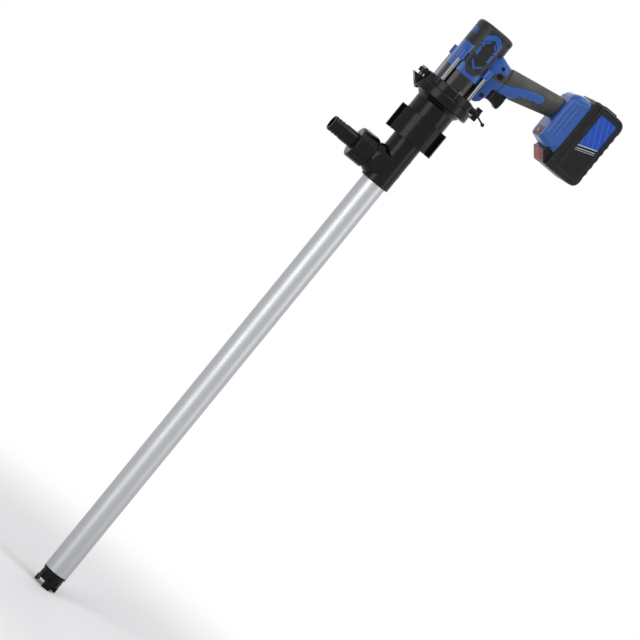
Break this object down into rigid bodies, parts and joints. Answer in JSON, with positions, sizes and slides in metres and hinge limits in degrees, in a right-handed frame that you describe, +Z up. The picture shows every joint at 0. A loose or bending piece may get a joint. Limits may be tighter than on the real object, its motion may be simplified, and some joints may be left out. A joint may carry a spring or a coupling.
{
  "type": "battery fuel transfer pump",
  "caption": "Cordless drum pump: a battery driver on a long aluminium tube with a foot strainer and a side outlet with a barbed hose tail.",
  "frame": {"origin": "on the pump axis, half way up the bare tube", "axes": "+Z up the pump axis from the foot to the driver, +X towards the handle and battery, -X towards the outlet"},
  "size_m": [0.3265, 0.093, 1.0303],
  "materials": {
    "satin_aluminium": "satin drawn tube",
    "black_plastic": "semi-gloss moulded",
    "blue_plastic": "semi-gloss moulded",
    "charcoal_plastic": "fine spark-eroded grain",
    "grip_rubber": "matt, fine grain",
    "chrome_post": "bright plated",
    "gearbox_black": "glossy",
    "steel": "ground",
    "zinc_steel": "zinc plated",
    "bronze": "sintered",
    "seal_rubber": "smooth",
    "white_plastic": "natural",
    "coupling_red": "urethane",
    "red_plastic": "moulded",
    "orange_plastic": "moulded",
    "stator_copper": "enamelled wire and laminations",
    "cell_wrap": "shrink sleeve",
    "board_green": "solder mask",
    "cast_aluminium": "die cast"
  },
  "bodies": {
    "pump": {"foot_strainer": "black_plastic", "lower_bearing_spider": "black_plastic", "shaft_bushes": "bronze", "outer_tube": "satin_aluminium", "inner_tube": "steel", "outlet_body": "black_plastic", "outlet_gasket": "seal_rubber", "shaft_seal": "seal_rubber", "upper_bearing": "steel", "spigot_o_ring": "seal_rubber", "adapter_body": "black_plastic", "mounting_plate": "black_plastic", "plate_screws": "zinc_steel", "ear_bolt": "zinc_steel", "tie_posts": "chrome_post", "gearbox_case": "gearbox_black", "ring_gear": "steel", "output_bearing": "steel", "motor_plate": "cast_aluminium", "motor_bearings": "steel", "motor_stator": "stator_copper", "housing_left": "blue_plastic", "housing_right": "blue_plastic", "housing_screws": "zinc_steel", "rear_cap": "charcoal_plastic", "side_panel_left": "charcoal_plastic", "side_panel_right": "charcoal_plastic", "grip_sleeve": "grip_rubber", "trigger_spring": "steel", "trigger_switch": "black_plastic", "control_panel": "charcoal_plastic"},
    "pump_shaft": {"impeller": "white_plastic", "impeller_nut": "zinc_steel", "drive_shaft": "steel", "coupling_lower": "cast_aluminium", "coupling_insert": "coupling_red", "coupling_upper": "cast_aluminium", "planet_carrier": "steel"},
    "rotor": {"motor_rotor": "steel", "sun_gear": "steel", "cooling_fan": "black_plastic"},
    "planet_1": {"planet_gear_1": "steel"},
    "planet_2": {"planet_gear_2": "steel"},
    "planet_3": {"planet_gear_3": "steel"},
    "nut_ring": {"nut_slip_ring": "white_plastic"},
    "tube_nut": {"tube_wing_nut": "black_plastic"},
    "tail": {"hose_tail": "black_plastic"},
    "outlet_nut": {"outlet_wing_nut": "black_plastic"},
    "clamp_tip": {"clamp_pad": "bronze"},
    "clamp": {"clamp_screw": "black_plastic"},
    "clamp_handle": {"swing_handle": "black_plastic"},
    "trigger": {"trigger": "black_plastic"},
    "selector": {"direction_switch": "black_plastic"},
    "panel_key": {"panel_button": "orange_plastic"},
    "battery": {"battery_case": "charcoal_plastic", "battery_cover": "charcoal_plastic", "battery_cells": "cell_wrap", "battery_board": "board_green", "release_spring": "steel"},
    "release": {"release_button": "red_plastic"}
  },
  "joints": [
    {"name": "pump_spin", "type": "hinge", "parent": "pump", "child": "pump_shaft", "pos_m": [0, 0, 0], "axis": [0, 0, 1], "continuous": true},
    {"name": "rotor_spin", "type": "hinge", "parent": "pump", "child": "rotor", "pos_m": [0, 0, 0], "axis": [0, 0, 1], "continuous": true},
    {"name": "planet_1_spin", "type": "hinge", "parent": "pump_shaft", "child": "planet_1", "pos_m": [0.0135, 0, 0], "axis": [0, 0, 1], "continuous": true},
    {"name": "planet_2_spin", "type": "hinge", "parent": "pump_shaft", "child": "planet_2", "pos_m": [-0.00675, 0.01169, 0], "axis": [0, 0, 1], "continuous": true},
    {"name": "planet_3_spin", "type": "hinge", "parent": "pump_shaft", "child": "planet_3", "pos_m": [-0.00675, -0.01169, 0], "axis": [0, 0, 1], "continuous": true},
    {"name": "tube_nut_lower", "type": "slide", "parent": "pump", "child": "nut_ring", "axis": [0, 0, -1], "range_m": [0, 0.018]},
    {"name": "tube_nut_turn", "type": "hinge", "parent": "nut_ring", "child": "tube_nut", "pos_m": [0, 0, 0], "axis": [0, 0, -1], "range_deg": [0, 2160]},
    {"name": "hose_tail_slide", "type": "slide", "parent": "pump", "child": "tail", "axis": [-1, 0, 0], "range_m": [0, 0.012]},
    {"name": "outlet_nut_turn", "type": "hinge", "parent": "tail", "child": "outlet_nut", "pos_m": [0, 0, 0.3845], "axis": [-1, 0, 0], "range_deg": [0, 1440]},
    {"name": "clamp_pad_slide", "type": "slide", "parent": "pump", "child": "clamp_tip", "axis": [1, 0, 0], "range_m": [0, 0.00375]},
    {"name": "clamp_screw_turn", "type": "hinge", "parent": "clamp_tip", "child": "clamp", "pos_m": [0, 0, 0.5217], "axis": [1, 0, 0], "range_deg": [0, 1080]},
    {"name": "clamp_handle_swing", "type": "hinge", "parent": "clamp", "child": "clamp_handle", "pos_m": [0.0535, 0, 0.5217], "axis": [0, 1, 0], "range_deg": [-75, 35]},
    {"name": "trigger_pull", "type": "slide", "parent": "pump", "child": "trigger", "axis": [0, 0, 1], "range_m": [0, 0.005], "stiffness_N_per_m": 900, "springref_m": -0.003, "deforming": ["trigger_spring"]},
    {"name": "selector_slide", "type": "slide", "parent": "pump", "child": "selector", "axis": [0, 1, 0], "range_m": [-0.003, 0.003]},
    {"name": "panel_button_press", "type": "slide", "parent": "pump", "child": "panel_key", "axis": [1, 0, 0], "range_m": [0, 0.0008], "stiffness_N_per_m": 400, "springref_m": -0.001},
    {"name": "battery_slide", "type": "slide", "parent": "pump", "child": "battery", "axis": [0, 0, -1], "range_m": [0, 0.1]},
    {"name": "release_press", "type": "slide", "parent": "battery", "child": "release", "axis": [0.7477, 0, 0.664], "range_m": [0, 0.0025], "stiffness_N_per_m": 700, "springref_m": -0.002, "deforming": ["release_spring"]}
  ],
  "couplings": [
    {"joint": "rotor_spin", "follows": "pump_spin", "ratio": 4.5},
    {"joint": "planet_1_spin", "follows": "pump_spin", "ratio": -2.8},
    {"joint": "planet_2_spin", "follows": "pump_spin", "ratio": -2.8},
    {"joint": "planet_3_spin", "follows": "pump_spin", "ratio": -2.8},
    {"joint": "tube_nut_lower", "follows": "tube_nut_turn", "m_per_rad": 0.00047746},
    {"joint": "hose_tail_slide", "follows": "outlet_nut_turn", "m_per_rad": 0.00047746},
    {"joint": "clamp_pad_slide", "follows": "clamp_screw_turn", "m_per_rad": 0.00019894}
  ]
}
